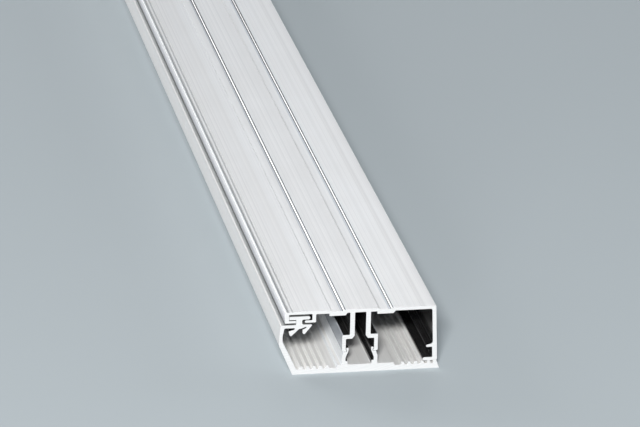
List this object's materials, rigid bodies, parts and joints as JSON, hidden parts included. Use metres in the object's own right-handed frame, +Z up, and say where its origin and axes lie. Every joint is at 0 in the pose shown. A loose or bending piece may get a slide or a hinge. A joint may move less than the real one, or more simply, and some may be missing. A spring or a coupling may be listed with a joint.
{
  "type": "aluminium extrusion profile",
  "caption": "Interlocking aluminium extrusions closed into a hollow rail: T-slot at one side, snap legs in the middle, ribbed floor.",
  "frame": {"origin": "middle of the flat underside, half way along the length", "axes": "+X across the section, from the T-slot side to the leaning side wall; +Y along the length; +Z up, out of the banded top plate"},
  "size_m": [0.0799, 1, 0.033],
  "materials": {
    "mill_aluminium": "mill finish with fine die lines along the length, saw-cut ends"
  },
  "bodies": {
    "root": {"upper_extrusion": "mill_aluminium", "lower_extrusion": "mill_aluminium"}
  },
  "joints": []
}
